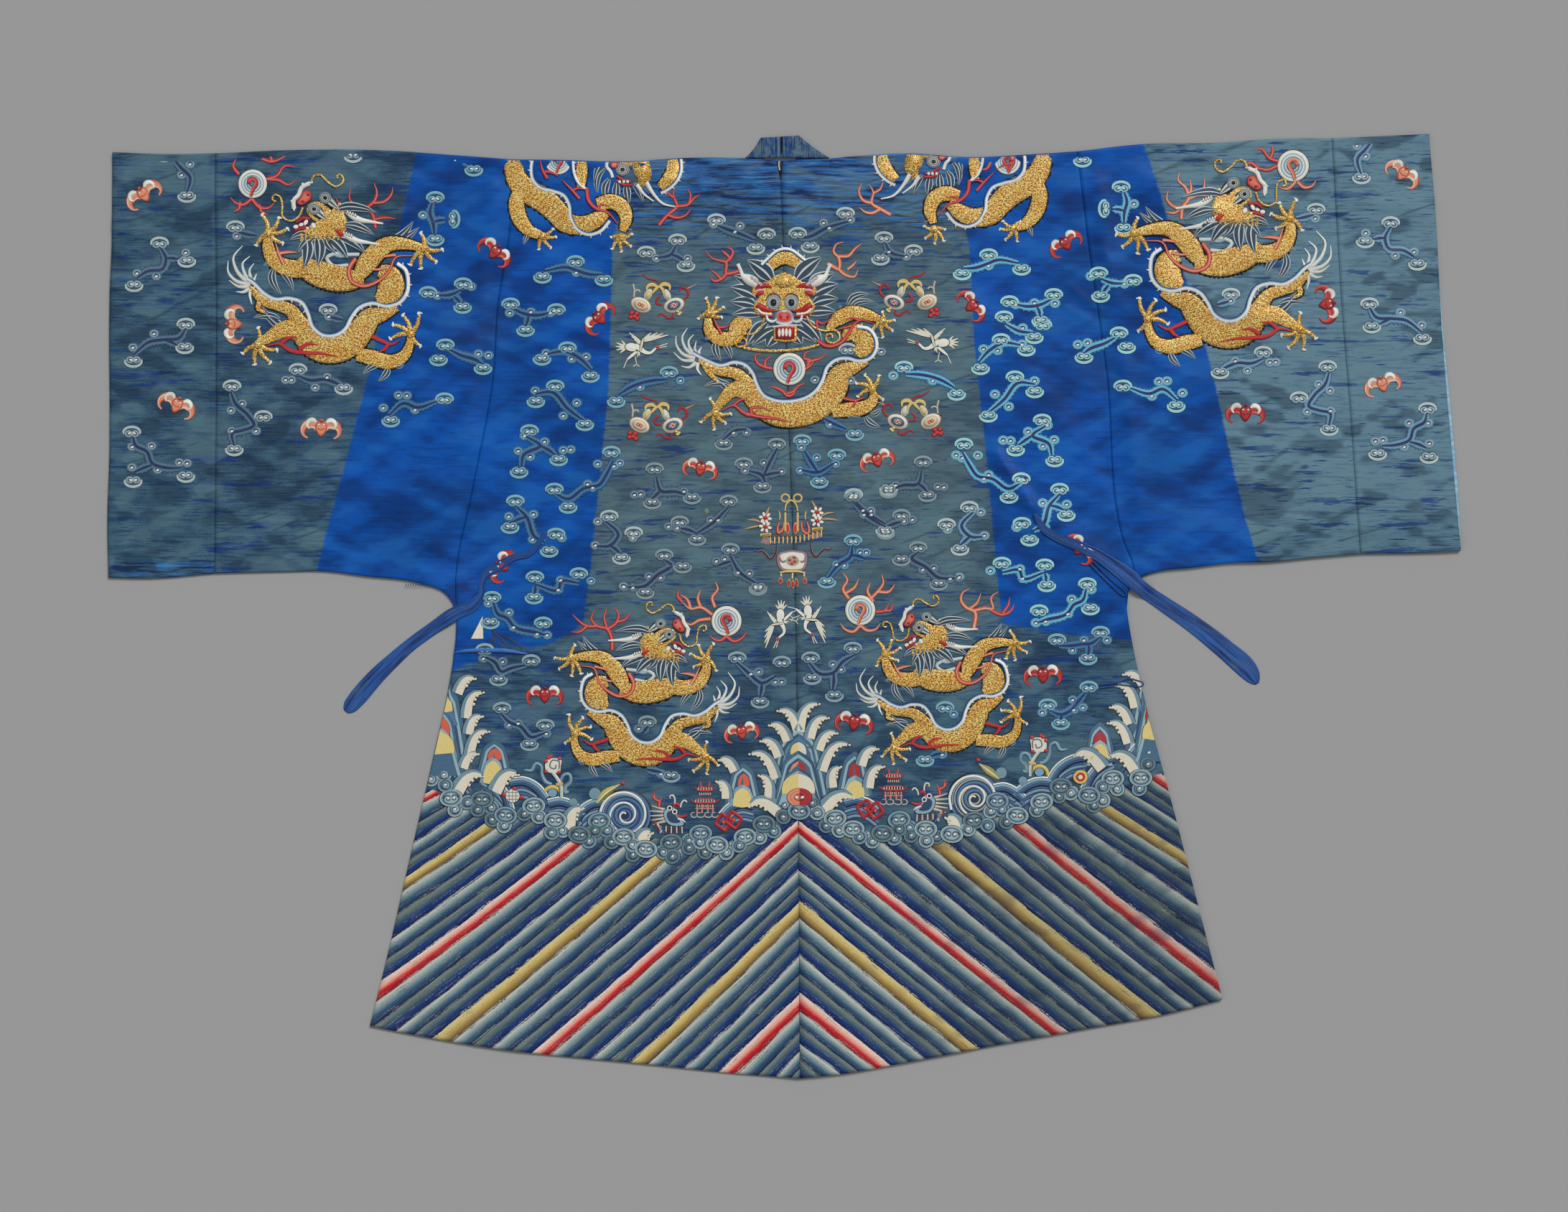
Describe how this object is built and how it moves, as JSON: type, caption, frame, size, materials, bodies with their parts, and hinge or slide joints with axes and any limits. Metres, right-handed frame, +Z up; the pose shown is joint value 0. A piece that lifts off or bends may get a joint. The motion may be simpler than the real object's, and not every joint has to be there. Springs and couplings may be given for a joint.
{
  "type": "chinese dragon robe, laid flat with its back up",
  "caption": "Wide-sleeved silk robe laid flat, back up, with standing neck band, centre seam, flared hem, two ties and two cord loops.",
  "frame": {"origin": "centre of the robe's box, on the surface it lies on", "axes": "+X across the back to the wearer's right cuff, +Y from hem to neck, +Z up from the surface"},
  "size_m": [1.9996, 1.3959, 0.0121],
  "materials": {
    "blue_silk": "embroidered silk satin, blue",
    "faded_silk": "embroidered silk satin, faded grey blue",
    "pale_lining": "thin pale blue silk lining",
    "dark_cord": "dark blue silk cord"
  },
  "bodies": {
    "root": {"body_left": "blue_silk", "body_right": "blue_silk", "front_overlap": "blue_silk", "sleeve_left": "blue_silk", "sleeve_right": "blue_silk", "cuff_panel_left": "faded_silk", "cuff_panel_right": "faded_silk", "cuff_lining_right": "pale_lining", "neck_band": "faded_silk", "tie_left": "blue_silk", "tie_right": "blue_silk", "loop_waist": "dark_cord", "loop_arm": "dark_cord"}
  },
  "joints": []
}
